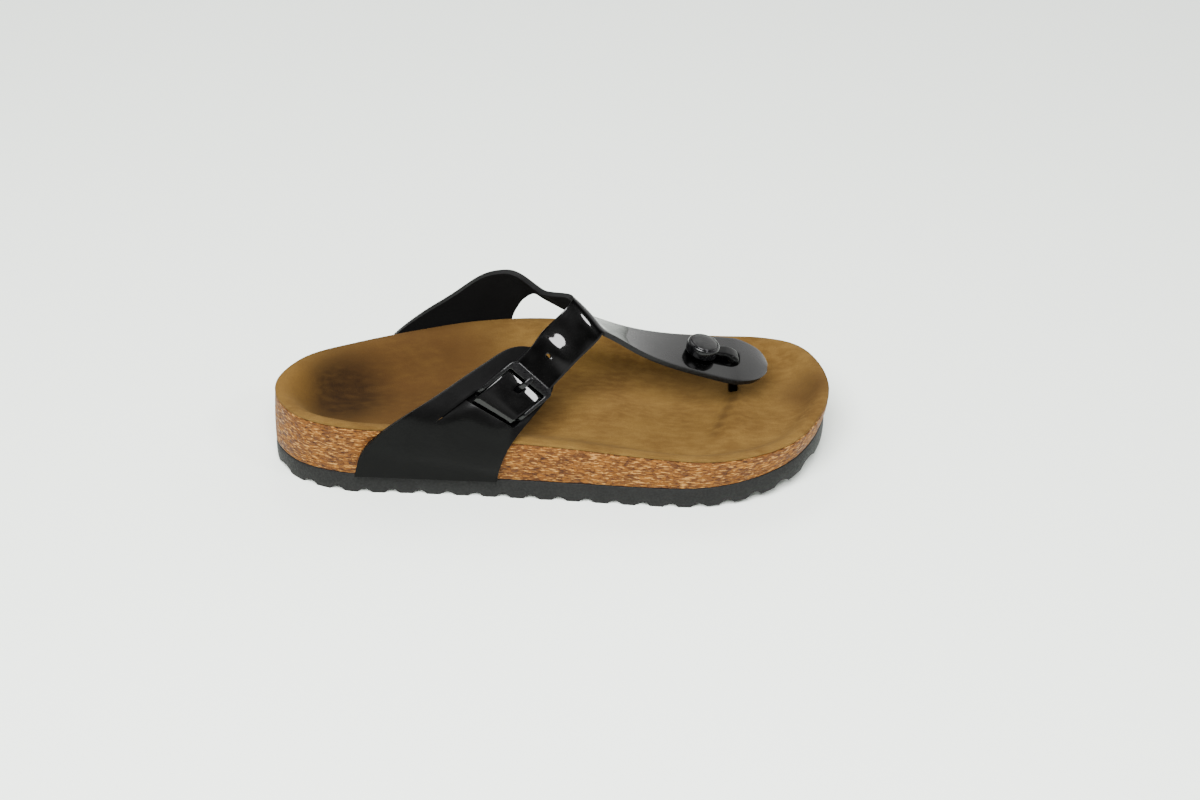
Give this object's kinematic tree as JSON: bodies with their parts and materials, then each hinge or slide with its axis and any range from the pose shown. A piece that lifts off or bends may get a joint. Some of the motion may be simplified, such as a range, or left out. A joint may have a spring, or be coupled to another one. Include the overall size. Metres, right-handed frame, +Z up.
{
  "type": "toe post sandal",
  "caption": "Right toe post sandal: moulded cork footbed with suede liner on a foamed sole, T-shaped patent strap with side buckle, toe post and rivet",
  "frame": {"origin": "on the floor under the middle of the sandal's box", "axes": "+X points to the toes, +Y to the medial side of the foot, +Z up"},
  "size_m": [0.2509, 0.094, 0.0801],
  "materials": {
    "sole_foam": "matt charcoal foamed sole",
    "cork": "sealed granulated cork",
    "suede": "brushed tan suede",
    "quarter_patent": "black patent coating",
    "strap_patent": "black patent coating, felt inside",
    "buckle_lacquer": "black lacquer",
    "post_strip": "black coated strip",
    "rivet_black": "satin black"
  },
  "bodies": {
    "root": {"outsole": "sole_foam", "cork_footbed": "cork", "footbed_liner": "suede", "lateral_quarter": "quarter_patent", "t_strap_upper": "strap_patent", "buckle_frame": "buckle_lacquer", "buckle_prong": "buckle_lacquer", "toe_post": "post_strip", "rivet_cap": "rivet_black"}
  },
  "joints": []
}
